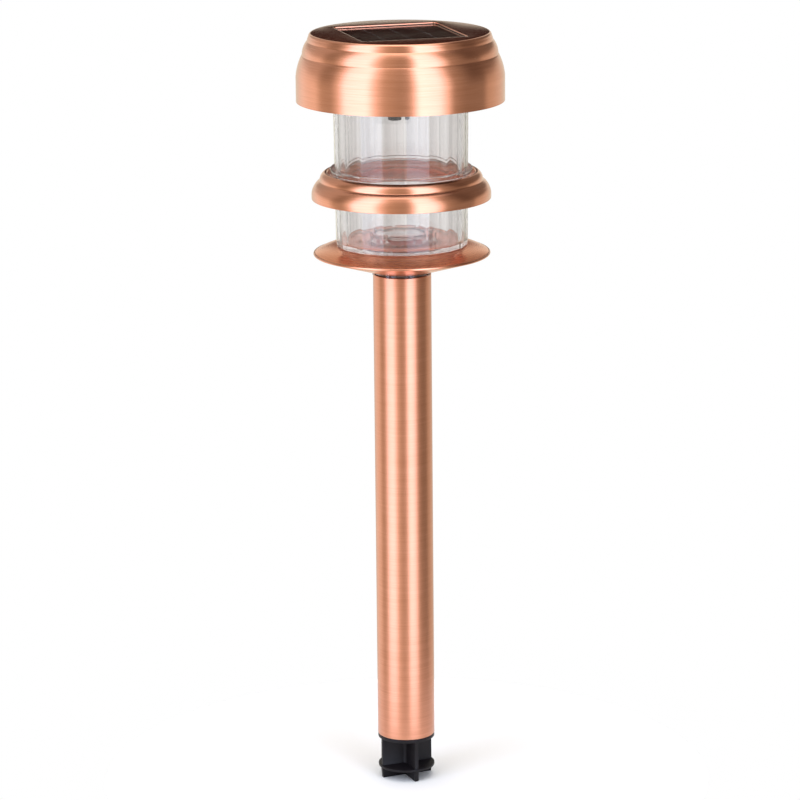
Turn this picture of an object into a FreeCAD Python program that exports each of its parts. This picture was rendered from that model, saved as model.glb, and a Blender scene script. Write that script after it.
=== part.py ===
import FreeCAD, Part
import math
import os
import Sketcher
from FreeCAD import Placement, Rotation, Vector

# Solar garden light: a faceted clear lens between a stepped metal cap and a
# metal saucer, on a thin tube whose ground stake is stored inside it.
# Millimetres. The origin is on the pole axis at the lowest face, +Z is up and
# the front is -Y.

doc = FreeCAD.newDocument("solar_garden_light")
sheet = doc.addObject("Spreadsheet::Sheet", "Sizes")

SIZES = {
    # pole
    "pole_radius": 15.0,
    "pole_bore": 14.45,
    "pole_low": 23.9,
    "pole_high": 272.3,
    # ground stake, stored point up
    "stake_angle": 6.0,
    "stake_web": 2.0,
    "stake_core": 2.4,
    "foot_radius": 14.3,
    "foot_taper": 0.6,
    "disc_radius": 14.8,
    "disc_low": 5.7,
    "disc_high": 6.9,
    "neck_radius": 14.0,
    "collar_radius": 14.9,
    "collar_low": 22.0,
    "blade_radius": 13.6,
    "blade_shoulder": 60.0,
    "blade_tip": 192.0,
    "blade_tip_half": 0.8,
    # plug between pole and lens
    "plug_radius": 14.1,
    "plug_wall": 1.6,
    "plug_low": 250.0,
    "plug_high": 293.4,
    "plug_fit": 14.4,
    "plug_rib_width": 1.6,
    "plug_stop_radius": 15.6,
    "bowl_low": 273.9,
    "bowl_foot_radius": 16.0,
    # pressed saucer
    "pressing": 0.5,
    "saucer_hole": 14.6,
    "saucer_radius": 45.5,
    "saucer_rim": 283.4,
    "lip_radius": 0.8,
    "plate_high": 287.9,
    # lens
    "lens_radius": 34.0,
    "lens_draft": 0.54,
    "lens_low_inside": 31.7,
    "lens_high_inside": 32.4,
    "lens_floor": 2.2,
    "lens_high": 372.0,
    "socket_bore": 14.25,
    "socket_radius": 17.0,
    "socket_high": 294.6,
    "ledge_radius": 40.2,
    "ledge_low": 320.8,
    "ledge_high": 322.6,
    "flange_radius": 36.5,
    "flange_low": 325.3,
    "flange_high": 327.6,
    "lug_radius": 36.4,
    "lug_low": 369.0,
    "lug_high": 371.0,
    "lug_width": 8.0,
    # middle ring
    "ring_radius": 46.0,
    "ring_low": 312.1,
    "ring_hole": 37.5,
    "ring_high": 325.6,
    "ring_groove_radius": 42.3,
    "ring_groove_high": 320.9,
    # cap shell
    "cap_sheet": 0.6,
    "cap_radius": 53.2,
    "cap_low": 362.2,
    "cap_high": 397.0,
    "step_low_radius": 49.9,
    "step_high_radius": 47.2,
    "cap_flat_radius": 44.8,
    "window": 55.0,
    "window_corner": 1.5,
    # panel
    "board_side": 57.0,
    "board_low": 393.4,
    "board_thick": 1.5,
    "cell_thick": 0.3,
    "cell_side": 53.2,
    "cell_gap": 0.5,
    "cover_thick": 1.2,
    "seal_inside": 55.4,
    # housing
    "housing_radius": 45.5,
    "housing_wall": 1.8,
    "deck_thick": 1.8,
    "floor_low": 373.5,
    "floor_high": 375.5,
    "tray_rim_radius": 48.6,
    "tray_rim_low": 384.0,
    "tray_rim_high": 385.6,
    "collar_inside": 37.0,
    "bayonet_radius": 38.8,
    "bayonet_low": 364.5,
    "bayonet_reach": 35.2,
    "bayonet_shelf": 367.0,
    "bayonet_shelf_high": 368.7,
    "boss_low": 352.4,
    "boss_radius": 5.2,
    "lamp_x": -2.8,
    "lamp_bore": 2.65,
    "lamp_pocket": 3.15,
    "lamp_seat": 358.7,
    "lamp_radius": 2.5,
    "lamp_rim_radius": 2.9,
    "lamp_rim_high": 359.9,
    "lead_offset": 1.27,
    "screw_circle": 41.4,
    "screw_boss": 2.6,
    "screw_pilot": 1.0,
    "screw_shank": 1.2,
    "screw_head": 2.3,
    "board_screw_shank": 0.8,
    # battery
    "cell_y": 14.6,
    "cell_z": 381.4,
    "cell_radius": 5.25,
    "cell_length": 43.7,
    "door_length": 47.6,
    "door_near": 7.6,
    "door_far": 21.0,
    "hinge_y": 8.4,
    "hinge_z": 374.5,
    "door_half": 0.8,
    "hinge_pin": 0.5,
    "door_gap": 0.3,
    "bay_half": 24.6,
    "bay_wall": 1.2,
    "bay_high": 384.0,
    # circuit
    "circuit_low": 378.6,
    "circuit_thick": 1.2,
    "circuit_half": 18.0,
    "circuit_back": -24.5,
    "circuit_front": 3.5,
    "switch_y": -17.0,
    "switch_travel": 2.4,
    "wire": 0.55,
}

LENS_FACETS = 18
LENS_TURN = -3.0
SCREW_START = 30
BOARD_POSTS = [(-14, -10), (14, -10)]
WIRE_HOLE = (9, -7)


class Size:
    """A number together with the spreadsheet expression that gives it."""

    def __init__(self, value, text):
        self.value = value
        self.text = text

    def join(self, other, sign, value):
        return Size(value, "(%s %s %s)" % (self.text, sign, size(other).text))

    def __add__(self, other):
        return self.join(other, "+", self.value + size(other).value)

    def __sub__(self, other):
        return self.join(other, "-", self.value - size(other).value)

    def __rsub__(self, other):
        return size(other) - self

    def __mul__(self, other):
        return self.join(other, "*", self.value * size(other).value)

    def __neg__(self):
        return Size(-self.value, "(-%s)" % self.text)


def size(item):
    if isinstance(item, Size):
        return item
    if isinstance(item, str):
        return Size(SIZES[item], "Sizes." + item)
    return Size(float(item), repr(float(item)))


for row, (alias, number) in enumerate(SIZES.items(), start=1):
    sheet.set("A%d" % row, alias.replace("_", " "))
    sheet.set("B%d" % row, str(number))
    sheet.setAlias("B%d" % row, alias)
doc.recompute()


# ---------------------------------------------------------------- sketches

def new_body(label):
    body = doc.addObject("PartDesign::Body", label)
    body.Label = label
    return body


def new_sketch(body, name, plane, lift=0):
    """A sketch on an origin plane of the body, moved along its normal by lift."""
    sketch = body.newObject("Sketcher::SketchObject", name)
    for feature in body.Origin.OriginFeatures:
        if feature.Role == plane:
            sketch.AttachmentSupport = (feature, [""])
    sketch.MapMode = "FlatFace"
    sketch.setExpression("AttachmentOffset.Base.z", size(lift).text)
    return sketch


def pin_point(sketch, edge, end, x, y):
    """Tie one end of an edge to its coordinates."""
    for kind, axis, item in (("DistanceX", -2, x), ("DistanceY", -1, y)):
        value = size(item)
        if value.value == 0:
            sketch.addConstraint(Sketcher.Constraint("PointOnObject", edge, end, axis))
        else:
            index = sketch.addConstraint(Sketcher.Constraint(kind, -1, 1, edge, end, value.value))
            sketch.setExpression("Constraints[%d]" % index, value.text)


def arc_through(start, end, radius):
    """The short arc from start to end. It bulges to the right for a positive radius."""
    chord = end - start
    half = chord.Length / 2
    rise = abs(radius) - math.sqrt(radius * radius - half * half)
    right = Vector(chord.y, -chord.x, 0).normalize()
    middle = (start + end) * 0.5 + right * math.copysign(rise, radius)
    if radius < 0:
        return Part.Arc(end, middle, start)
    return Part.Arc(start, middle, end)


def outline(body, name, plane, corners, lift=0):
    """A closed outline. A corner is (x, y), or (x, y, radius) when an arc leads to it."""
    sketch = new_sketch(body, name, plane, lift)
    places = [Vector(size(c[0]).value, size(c[1]).value, 0) for c in corners]
    ends = []
    for index, corner in enumerate(corners):
        start = places[index - 1]
        end = places[index]
        if len(corner) == 2:
            edge = sketch.addGeometry(Part.LineSegment(start, end))
            ends.append((edge, 1, 2))
            continue
        bend = size(corner[2])
        edge = sketch.addGeometry(arc_through(start, end, bend.value))
        ends.append((edge, 1, 2) if bend.value > 0 else (edge, 2, 1))
    for index, corner in enumerate(corners):
        edge, first, last = ends[index]
        after = ends[(index + 1) % len(ends)]
        sketch.addConstraint(Sketcher.Constraint("Coincident", edge, last, after[0], after[1]))
        pin_point(sketch, edge, last, corner[0], corner[1])
    for index, corner in enumerate(corners):
        if len(corner) == 3:
            bend = size(corner[2])
            radius = bend if bend.value > 0 else -bend
            made = sketch.addConstraint(Sketcher.Constraint("Radius", ends[index][0], radius.value))
            sketch.setExpression("Constraints[%d]" % made, radius.text)
    return sketch


def edge_directions(start, end, radius):
    """Unit directions of an edge at its start and at its end."""
    chord = (end - start).normalize()
    if not radius:
        return chord, chord
    turn = math.degrees(math.asin((end - start).Length / 2 / radius))
    axis = Vector(0, 0, 1)
    return Rotation(axis, -turn).multVec(chord), Rotation(axis, turn).multVec(chord)


def pressed_sheet(path, thickness):
    """Close an open path into a sheet that lies on the left of the path."""
    places = [Vector(size(c[0]).value, size(c[1]).value, 0) for c in path]
    radii = [size(c[2]).value if len(c) == 3 else 0 for c in path]
    arriving = [None]
    leaving = []
    for index in range(1, len(path)):
        first, last = edge_directions(places[index - 1], places[index], radii[index])
        leaving.append(first)
        arriving.append(last)
    arriving[0] = leaving[0]
    leaving.append(arriving[-1])
    inner = []
    for corner, before, after in zip(path, arriving, leaving):
        left = Vector(-before.y - after.y, before.x + after.x, 0)
        left = left * (1 / (1 + before.dot(after)))
        shift = size(thickness)
        inner.append((size(corner[0]) + shift * left.x, size(corner[1]) + shift * left.y))
    back = [inner[-1]]
    for index in range(len(path) - 1, 0, -1):
        corner = inner[index - 1]
        if radii[index]:
            corner = (corner[0], corner[1], size(thickness) - path[index][2])
        back.append(corner)
    return list(path) + back


def oblong(body, name, plane, low, high, lift=0):
    """A rectangle between two opposite corners."""
    corners = [(low[0], low[1]), (high[0], low[1]), (high[0], high[1]), (low[0], high[1])]
    return outline(body, name, plane, corners, lift)


def circles(body, name, plane, centres, radius, lift=0):
    """Equal circles at the given centres."""
    sketch = new_sketch(body, name, plane, lift)
    for x, y in centres:
        centre = Vector(size(x).value, size(y).value, 0)
        edge = sketch.addGeometry(Part.Circle(centre, Vector(0, 0, 1), size(radius).value))
        pin_point(sketch, edge, 3, x, y)
        made = sketch.addConstraint(Sketcher.Constraint("Radius", edge, size(radius).value))
        sketch.setExpression("Constraints[%d]" % made, size(radius).text)
    return sketch


def polygon(body, name, sides, turn, radius, lift):
    """A regular polygon round the Z axis. One flat side faces the front, then it is turned."""
    corners = []
    for index in range(sides):
        angle = math.radians(turn - 90 + (index + 0.5) * 360 / sides)
        corners.append((size(radius) * math.cos(angle), size(radius) * math.sin(angle)))
    return outline(body, name, "XY_Plane", corners, lift)


# ---------------------------------------------------------------- features

def sweep_round(body, name, sketch, kind="PartDesign::Revolution", axis="V_Axis"):
    turned = body.newObject(kind, name)
    turned.Profile = sketch
    turned.ReferenceAxis = (sketch, [axis])
    turned.Angle = 360
    doc.recompute()
    return turned


def extrude(body, name, sketch, length, kind="PartDesign::Pad", middle=False, back=False):
    solid = body.newObject(kind, name)
    solid.Profile = sketch
    solid.setExpression("Length", size(length).text)
    solid.Midplane = middle
    solid.Reversed = back
    doc.recompute()
    return solid


def cut(body, name, sketch, length, up=False):
    """Cut from the sketch plane, against its normal, or along it when up is set."""
    return extrude(body, name, sketch, length, "PartDesign::Pocket", back=up)


def repeat(body, name, features, count):
    """Repeat features evenly round the Z axis."""
    pattern = body.newObject("PartDesign::PolarPattern", name)
    pattern.Originals = features
    vertical = [f for f in body.Origin.OriginFeatures if f.Role == "Z_Axis"]
    pattern.Axis = (vertical[0], [""])
    pattern.Angle = 360
    pattern.Occurrences = count
    body.Tip = pattern
    doc.recompute()
    return pattern


def turned_part(label, corners):
    """A body made by one turned outline of (radius, height) corners."""
    body = new_body(label)
    sweep_round(body, label + "_turned", outline(body, label + "_outline", "XZ_Plane", corners))
    return body


def tube_corners(inside, outside, low, high):
    return [(inside, low), (outside, low), (outside, high), (inside, high)]


def block(label, low, spans):
    """A Part box from its lowest corner and its three lengths."""
    box = doc.addObject("Part::Box", label)
    box.Label = label
    for name, item in zip(("x", "y", "z"), low):
        box.setExpression("Placement.Base." + name, size(item).text)
    for name, item in zip(("Length", "Width", "Height"), spans):
        box.setExpression(name, size(item).text)
    return box


def centred_block(label, side, low, height):
    """A square Part box centred on the Z axis."""
    half = size(side) * -0.5
    return block(label, (half, half, low), (side, side, height))


def rod(label, centre, radius, low, height):
    """An upright Part cylinder."""
    cylinder = doc.addObject("Part::Cylinder", label)
    cylinder.Label = label
    for name, item in zip(("x", "y", "z"), (centre[0], centre[1], low)):
        cylinder.setExpression("Placement.Base." + name, size(item).text)
    cylinder.setExpression("Radius", size(radius).text)
    cylinder.setExpression("Height", size(height).text)
    return cylinder


def group(label, members):
    """Separate solids of the same kind that share one node."""
    compound = doc.addObject("Part::Compound", label)
    compound.Label = label
    compound.Links = members
    return compound


def boolean(kind, label, base, tool):
    made = doc.addObject(kind, label)
    made.Label = label
    made.Base = base
    made.Tool = tool
    doc.recompute()
    return made


# ---------------------------------------------------------------- pole

def pole_tube():
    corners = tube_corners("pole_bore", "pole_radius", "pole_low", "pole_high")
    return turned_part("pole_tube", corners)


def ground_stake():
    """Crossed webs: tapered foot, disc, neck, collar and the tapering blade."""
    body = new_body("ground_stake")
    right = [
        (size("foot_radius") - "foot_taper", 0),
        ("foot_radius", "disc_low"),
        ("neck_radius", "disc_high"),
        ("neck_radius", "collar_low"),
        ("blade_radius", "pole_low"),
        ("blade_radius", "blade_shoulder"),
        ("blade_tip_half", "blade_tip"),
    ]
    left = [(-size(x), z) for x, z in reversed(right)]
    for plane in ("XZ_Plane", "YZ_Plane"):
        name = "web_" + plane[:2].lower()
        sketch = outline(body, name + "_outline", plane, right + left)
        extrude(body, name, sketch, "stake_web", middle=True)
    collar = [
        (0, "disc_low"),
        ("disc_radius", "disc_low"),
        ("disc_radius", "disc_high"),
        ("stake_core", "disc_high"),
        ("stake_core", "collar_low"),
        ("collar_radius", "collar_low"),
        ("collar_radius", "pole_low"),
        ("stake_core", "pole_low"),
        ("blade_tip_half", "blade_tip"),
        (0, "blade_tip"),
    ]
    sweep_round(body, "core", outline(body, "core_outline", "XZ_Plane", collar))
    body.setExpression("Placement.Rotation.Angle", "Sizes.stake_angle")
    return body


def pole_plug():
    """A hollow clear plug: ribs grip the tube, and stop ribs stand on its end."""
    body = new_body("pole_plug")
    inside = size("plug_radius") - "plug_wall"
    corners = [
        (inside, "plug_low"),
        (size("plug_radius") - 0.6, "plug_low"),
        ("plug_radius", size("plug_low") + 1.5),
        ("plug_radius", "plug_high"),
        (0, "plug_high"),
        (0, size("plug_high") - "plug_wall"),
        (inside, size("plug_high") - "plug_wall"),
    ]
    sweep_round(body, "plug_turned", outline(body, "plug_outline", "XZ_Plane", corners))
    half = size("plug_rib_width") * 0.5
    grip = oblong(body, "grip_outline", "XY_Plane", (-half, inside + 0.4), (half, "plug_fit"),
                  size("plug_low") + 3)
    grip_rib = extrude(body, "grip_rib", grip, size("pole_high") - "plug_low" - 4)
    repeat(body, "grip_ribs", [grip_rib], 4)
    stop = oblong(body, "stop_outline", "XY_Plane", (-half, inside + 0.4),
                  (half, "plug_stop_radius"), "pole_high")
    stop_rib = extrude(body, "stop_rib", stop, size("bowl_low") - "pole_high")
    repeat(body, "stop_ribs", [stop_rib], 8)
    return body


# ---------------------------------------------------------------- lens head

def lens():
    """Eighteen flat facets outside, round inside, with floor, ledges and lugs."""
    body = new_body("lens")
    facets = polygon(body, "facets_outline", LENS_FACETS, LENS_TURN, "lens_radius", "plate_high")
    prism = extrude(body, "facets", facets, size("lens_high") - "plate_high")
    prism.setExpression("TaperAngle", size("lens_draft").text)
    doc.recompute()
    rings = (("ledge", "ledge_radius", "ledge_low", "ledge_high"),
             ("flange", "flange_radius", "flange_low", "flange_high"))
    for name, radius, low, high in rings:
        corners = tube_corners("socket_radius", radius, low, high)
        sweep_round(body, name, outline(body, name + "_outline", "XZ_Plane", corners))
    half = size("lug_width") * 0.5
    lug = oblong(body, "lug_outline", "XY_Plane", (-half, -size("lug_radius")),
                 (half, -size("lens_high_inside") - 0.8), "lug_low")
    lug_pad = extrude(body, "lug", lug, size("lug_high") - "lug_low")
    repeat(body, "lugs", [lug_pad], 3)
    floor_high = size("plate_high") + "lens_floor"
    inside = [
        (0, "plate_high"),
        ("socket_bore", "plate_high"),
        ("socket_bore", "socket_high"),
        ("socket_radius", "socket_high"),
        ("socket_radius", floor_high),
        ("lens_low_inside", floor_high),
        ("lens_high_inside", "lens_high"),
        (0, "lens_high"),
    ]
    sketch = outline(body, "inside_outline", "XZ_Plane", inside)
    sweep_round(body, "inside", sketch, "PartDesign::Groove")
    notch = oblong(body, "notch_outline", "XY_Plane", (-1.5, size("socket_bore") - 1),
                   (1.5, size("socket_radius") + 1), floor_high)
    notch_cut = cut(body, "notch", notch, 6, up=True)
    repeat(body, "notches", [notch_cut], 8)
    return body


def middle_ring():
    """A pressed ring: falling skirt, groove, rolled bead and turned-down lip."""
    hole = size("ring_hole")
    path = [
        ("ring_radius", "ring_low"),
        ("ring_radius", size("ring_low") + 2.4),
        (size("ring_radius") - 1.3, size("ring_low") + 6.2, 8),
        ("ring_groove_radius", "ring_groove_high", 7),
        (size("ring_groove_radius") - 0.5, size("ring_groove_high") + 0.9, -1.2),
        (hole + 1.6, "ring_high", 4.6),
        (hole + 1.2, "ring_high"),
        (hole, size("ring_high") - 1.2, 1.2),
        (hole, "ledge_high"),
    ]
    return turned_part("middle_ring", pressed_sheet(path, "pressing"))


def base_plate():
    """A shallow cone that carries the lens and closes the bowl."""
    shoulder = size("lens_radius") - 1
    path = [
        (size("saucer_radius") - 1.4, size("saucer_rim") + 1.0),
        (shoulder, "plate_high", 40),
        ("saucer_hole", "plate_high"),
    ]
    return turned_part("base_plate", pressed_sheet(path, "pressing"))


def base_bowl():
    """The conical underside with its rolled rim."""
    body = new_body("base_bowl")
    rim = size("saucer_radius") - 0.3
    path = [
        ("saucer_hole", "bowl_low"),
        ("bowl_foot_radius", "bowl_low"),
        (rim, size("saucer_rim") - 0.6),
    ]
    outside = outline(body, "bowl_outline", "XZ_Plane", pressed_sheet(path, "pressing"))
    sweep_round(body, "bowl_turned", outside)
    centre = (size("saucer_radius") - "lip_radius", size("saucer_rim") - 0.3)
    lip = circles(body, "lip_outline", "XZ_Plane", [centre], "lip_radius")
    sweep_round(body, "lip", lip)
    return body


# ---------------------------------------------------------------- cap

def cap_shell():
    """Three rounded steps under a flat top with a square window."""
    body = new_body("cap_shell")
    top = size("cap_high")
    path = [
        ("cap_radius", "cap_low"),
        ("cap_radius", top - 22.0),
        (size("step_low_radius") + 0.2, top - 11.3, 30),
        ("step_low_radius", top - 11.0, -0.6),
        (size("step_high_radius") + 0.2, top - 4.2, 11),
        ("step_high_radius", top - 3.9, -0.6),
        (46.5, top - 1.6, 8),
        ("cap_flat_radius", top, 1.7),
        (0, top),
    ]
    outside = outline(body, "cap_outline", "XZ_Plane", pressed_sheet(path, "cap_sheet"))
    sweep_round(body, "cap_turned", outside)
    half = size("window") * 0.5
    corner = size("window_corner")
    inner = half - corner
    turn = -corner
    window = [
        (inner, -half),
        (half, -inner, corner),
        (half, inner),
        (inner, half, corner),
        (-inner, half),
        (-half, inner, corner),
        (-half, -inner),
        (-inner, -half, corner),
    ]
    sketch = outline(body, "window_outline", "XY_Plane", window, top)
    cut(body, "window_cut", sketch, 2)
    return body


def solar_panel():
    """Board, four cell strips, clear cover and seal under the window."""
    side = size("board_side")
    board = centred_block("panel_board", side, "board_low", "board_thick")
    cells_low = size("board_low") + "board_thick"
    pitch = size("cell_side") * 0.25
    strips = []
    for index in range(4):
        left = size("cell_side") * -0.5 + pitch * index
        corner = (left, size("cell_side") * -0.5, cells_low)
        spans = (pitch - "cell_gap", "cell_side", "cell_thick")
        strips.append(block("cell_strip_%d" % (index + 1), corner, spans))
    cells = group("solar_cells", strips)
    cast = centred_block("cover_cast", side, cells_low, "cover_thick")
    recess = centred_block("cover_recess", "cell_side", cells_low, "cell_thick")
    cover = boolean("Part::Cut", "panel_cover", cast, recess)
    seal_low = cells_low + "cover_thick"
    seal_height = size("cap_high") - "cap_sheet" - seal_low
    pad = centred_block("seal_pad", side, seal_low, seal_height)
    opening = centred_block("seal_opening", "seal_inside", seal_low, seal_height)
    seal = boolean("Part::Cut", "panel_seal", pad, opening)
    return [board, cells, cover, seal]


def screw_places():
    """Centres of the three housing screws."""
    places = []
    for index in range(3):
        angle = math.radians(SCREW_START + index * 120)
        places.append((size("screw_circle") * math.cos(angle),
                       size("screw_circle") * math.sin(angle)))
    return places


def housing_top():
    """Tray under the panel: deck, skirt, glued rim and screw bosses."""
    body = new_body("housing_top")
    deck_low = size("board_low") - "deck_thick"
    skirt_inside = size("housing_radius") - "housing_wall"
    corners = [
        (0, deck_low),
        (skirt_inside, deck_low),
        (skirt_inside, "floor_high"),
        ("housing_radius", "floor_high"),
        ("housing_radius", "tray_rim_low"),
        ("tray_rim_radius", "tray_rim_low"),
        ("tray_rim_radius", "tray_rim_high"),
        ("housing_radius", "tray_rim_high"),
        ("housing_radius", "board_low"),
        (0, "board_low"),
    ]
    sweep_round(body, "tray_turned", outline(body, "tray_outline", "XZ_Plane", corners))
    places = screw_places()
    bosses = circles(body, "boss_outline", "XY_Plane", places, "screw_boss", "floor_high")
    extrude(body, "bosses", bosses, deck_low - "floor_high")
    pilots = circles(body, "pilot_outline", "XY_Plane", places, "screw_pilot", "floor_high")
    cut(body, "pilots", pilots, 9, up=True)
    wires = circles(body, "wire_hole_outline", "XY_Plane", [WIRE_HOLE], 3, "board_low")
    cut(body, "wire_hole", wires, 4)
    return body


def housing_base():
    """Floor with lamp boss, twist-lock collar, battery bay and switch slot."""
    body = new_body("housing_base")
    corners = [
        (0, "floor_low"),
        ("collar_inside", "floor_low"),
        ("collar_inside", "bayonet_low"),
        ("bayonet_radius", "bayonet_low"),
        ("bayonet_radius", "floor_low"),
        ("housing_radius", "floor_low"),
        ("housing_radius", "floor_high"),
        (0, "floor_high"),
    ]
    sweep_round(body, "floor", outline(body, "floor_outline", "XZ_Plane", corners))
    shelf_height = size("bayonet_shelf_high") - "bayonet_shelf"
    stop_height = size("floor_low") - "bayonet_shelf"
    shelf = bayonet_piece(body, "shelf", (-6.0, 4.4), "bayonet_shelf", shelf_height)
    stop = bayonet_piece(body, "stop", (4.4, 6.0), "bayonet_shelf", stop_height)
    repeat(body, "twist_lock", [shelf, stop], 3)
    lamp_place = [("lamp_x", 0)]
    boss = circles(body, "boss_outline", "XY_Plane", lamp_place, "boss_radius", "boss_low")
    extrude(body, "boss", boss, size("floor_low") - "boss_low")
    battery_bay(body)
    for name, radius, low in (("lamp_bore", "lamp_bore", "boss_low"),
                              ("lamp_pocket", "lamp_pocket", "lamp_seat")):
        hole = circles(body, name + "_outline", "XY_Plane", lamp_place, radius, low)
        cut(body, name, hole, size("floor_high") - low, up=True)
    slot_low = (-2.8, size("switch_y") - 1.4)
    slot_high = (2.8, size("switch_y") + 1.4)
    slot = oblong(body, "switch_slot_outline", "XY_Plane", slot_low, slot_high, "floor_high")
    cut(body, "switch_slot", slot, 4)
    shanks = circles(body, "screw_outline", "XY_Plane", screw_places(), "screw_shank", "floor_high")
    cut(body, "screw_holes", shanks, 4)
    feet = circles(body, "post_outline", "XY_Plane", BOARD_POSTS, 2.2, "floor_high")
    extrude(body, "posts", feet, size("circuit_low") - "floor_high")
    pilots = circles(body, "post_pilot_outline", "XY_Plane", BOARD_POSTS, "board_screw_shank",
                     "circuit_low")
    cut(body, "post_pilots", pilots, 3.5)
    return body


def bayonet_piece(body, name, span, low, height):
    """A block between the collar and the lens, across the front of the lens."""
    inner = -size("bayonet_reach")
    outer = -size("collar_inside") - 1.0
    sketch = oblong(body, name + "_outline", "XY_Plane", (span[0], outer), (span[1], inner), low)
    return extrude(body, name, sketch, height)


def battery_bay(body):
    """Walls round the cell above the floor, and the opening that the door closes."""
    half = size("bay_half")
    wall = size("bay_wall")
    near = size("door_near") - 0.6
    far = size("door_far") + 0.6
    walls = oblong(body, "bay_outline", "XY_Plane", (-half - wall, near - wall),
                   (half + wall, far + wall), "floor_high")
    extrude(body, "bay_walls", walls, size("bay_high") - "floor_high")
    room = oblong(body, "bay_room_outline", "XY_Plane", (-half, near), (half, far), "bay_high")
    cut(body, "bay_room", room, size("bay_high") - "floor_high")
    mouth_half = size("door_length") * 0.5 + "door_gap"
    mouth = oblong(body, "mouth_outline", "XY_Plane",
                   (-mouth_half, size("door_near") - "door_gap"),
                   (mouth_half, size("door_far") + "door_gap"), "floor_high")
    cut(body, "mouth", mouth, 4)
    hole = circles(body, "hinge_hole_outline", "YZ_Plane", [("hinge_y", "hinge_z")],
                   size("hinge_pin") + 0.05)
    extrude(body, "hinge_holes", hole, mouth_half * 2 + 2.4, "PartDesign::Pocket", middle=True)


def battery_door():
    """A flat door that turns on two stub pins along its near edge."""
    body = new_body("battery_door")
    half = size("door_half")
    low = size("hinge_z") - half
    high = size("hinge_z") + half
    rounded = [
        ("hinge_y", high, -half),
        ("door_far", high),
        ("door_far", low),
        ("hinge_y", low),
        ("door_near", "hinge_z", -half),
    ]
    sketch = outline(body, "door_outline", "YZ_Plane", rounded)
    extrude(body, "door", sketch, "door_length", middle=True)
    pin = circles(body, "pin_outline", "YZ_Plane", [("hinge_y", "hinge_z")], "hinge_pin")
    extrude(body, "pins", pin, size("door_length") + 2.2, middle=True)
    grip = oblong(body, "grip_outline", "XY_Plane", (-5, size("door_far") - 2.2),
                  (5, size("door_far") - 0.8), low)
    cut(body, "grip", grip, 0.7, up=True)
    return body


def housing_screws():
    """Three pan-head screws from below, through the floor into the bosses."""
    screws = []
    for index, place in enumerate(screw_places(), start=1):
        head_low = size("floor_low") - 1.4
        head = rod("screw_head_%d" % index, place, "screw_head", head_low, 1.4)
        shank = rod("screw_shank_%d" % index, place, "screw_pilot", "floor_low", 10)
        screws.append(boolean("Part::Fuse", "housing_screw_%d" % index, head, shank))
    return group("housing_screws", screws)


def board_screws():
    """Two small screws that hold the circuit board."""
    screws = []
    top = size("circuit_low") + "circuit_thick"
    for index, place in enumerate(BOARD_POSTS, start=1):
        head = rod("board_screw_head_%d" % index, place, 1.7, top, 1.1)
        shank = rod("board_screw_shank_%d" % index, place, "board_screw_shank", top - 4, 4)
        screws.append(boolean("Part::Fuse", "board_screw_%d" % index, head, shank))
    return group("board_screws", screws)


def lens_gasket():
    """Foam ring under the floor, just over the rim of the lens."""
    corners = tube_corners("lens_high_inside", size("lens_high_inside") + 2,
                           size("lens_high") + 0.3, "floor_low")
    return turned_part("lens_gasket", corners)


# ---------------------------------------------------------------- electrics

def circuit_board():
    """The board, with clearance holes for its screws and the lamp leads."""
    body = new_body("circuit_board")
    half = size("circuit_half")
    blank = oblong(body, "blank_outline", "XY_Plane", (-half, "circuit_back"),
                   (half, "circuit_front"), "circuit_low")
    extrude(body, "blank", blank, "circuit_thick")
    top = size("circuit_low") + "circuit_thick"
    screw = circles(body, "screw_outline", "XY_Plane", BOARD_POSTS, "board_screw_shank", top)
    cut(body, "screw_holes", screw, 3)
    leads = [(size("lamp_x") - "lead_offset", 0), (size("lamp_x") + "lead_offset", 0)]
    lead = circles(body, "lead_outline", "XY_Plane", leads, 0.3, top)
    cut(body, "lead_holes", lead, 3)
    return body


def board_parts():
    """Controller, coil, switch case and knob on the board."""
    top = size("circuit_low") + "circuit_thick"
    chip = block("controller_chip", (-6, -9, top), (5, 4, 1.5))
    coil = rod("drive_coil", (8, -17), 2.4, top, 5.5)
    case_low = size("floor_high") + 0.1
    case_low_y = size("switch_y") - 2.2
    case = block("switch_can", (-4.3, case_low_y, case_low), (8.6, 4.4, size("circuit_low") - case_low))
    room = block("switch_room", (-3.6, size("switch_y") - 1.5, case_low),
                 (7.2, 3.0, 2.2))
    switch_case = boolean("Part::Cut", "switch_case", case, room)
    return [chip, coil, switch_case]


def switch_knob():
    """A slider with a wide plate inside the case and a ridged stem outside."""
    body = new_body("switch_knob")
    back = size("switch_travel") * -0.5
    y = size("switch_y")
    plate_low = size("floor_high") + 0.5
    plate = oblong(body, "plate_outline", "XY_Plane", (back - 1.8, y - 1.1), (back + 1.8, y + 1.1),
                   plate_low)
    extrude(body, "plate", plate, 1.4)
    stem = oblong(body, "stem_outline", "XY_Plane", (back - 1.1, y - 1.0), (back + 1.1, y + 1.0),
                  size("floor_low") - 1.6)
    extrude(body, "stem", stem, plate_low - size("floor_low") + 1.6)
    return body


def lamp():
    """A round lamp that points down out of the boss, and its two leads."""
    low = size("boss_low") - 0.4
    corners = [
        (0, low),
        ("lamp_radius", low + "lamp_radius", "lamp_radius"),
        ("lamp_radius", "lamp_seat"),
        ("lamp_rim_radius", "lamp_seat"),
        ("lamp_rim_radius", "lamp_rim_high"),
        (0, "lamp_rim_high"),
    ]
    body = turned_part("led_lamp", corners)
    body.setExpression("Placement.Base.x", "Sizes.lamp_x")
    leads = []
    height = size("circuit_low") + 2.2 - "lamp_rim_high"
    for side, x in (("left", -size("lead_offset")), ("right", size("lead_offset"))):
        leads.append(rod("lead_" + side, (x + "lamp_x", 0), 0.25, "lamp_rim_high", height))
    return [body, group("led_leads", leads)]


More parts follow.
